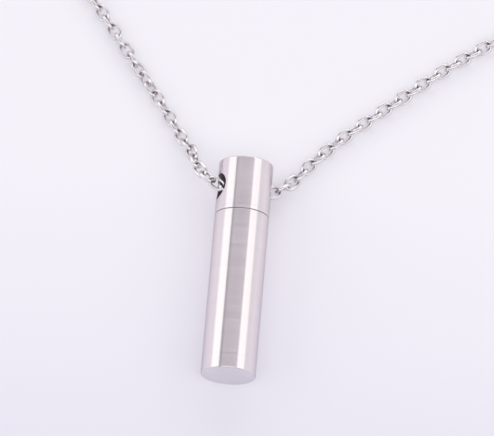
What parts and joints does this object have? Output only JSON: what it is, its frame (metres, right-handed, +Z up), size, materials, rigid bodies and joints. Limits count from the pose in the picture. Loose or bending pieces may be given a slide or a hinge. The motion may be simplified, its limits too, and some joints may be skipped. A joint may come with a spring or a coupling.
{
  "type": "keepsake urn pendant on a chain",
  "caption": "Slim cylindrical urn pendant that unscrews below its cap, with a fine cable chain running through a hole across the cap and closed by a plain clasp.",
  "frame": {"origin": "on the surface that the necklace lies on, under the middle of its bounding box", "axes": "+Z up, the urn's axis along Y with its closed end towards -Y and the chain's loop towards +Y"},
  "size_m": [0.1498, 0.2128, 0.009],
  "materials": {
    "brushed_steel": "stainless steel turned with fine rings around the axis",
    "polished_steel": "polished stainless steel wire"
  },
  "bodies": {
    "necklace": {"cap": "brushed_steel", "chain": "polished_steel", "clasp": "polished_steel"},
    "urn": {"urn_body": "brushed_steel"}
  },
  "joints": [
    {"name": "urn_off", "type": "slide", "parent": "necklace", "child": "urn", "axis": [0, -1, 0], "range_m": [0, 0.012]}
  ]
}
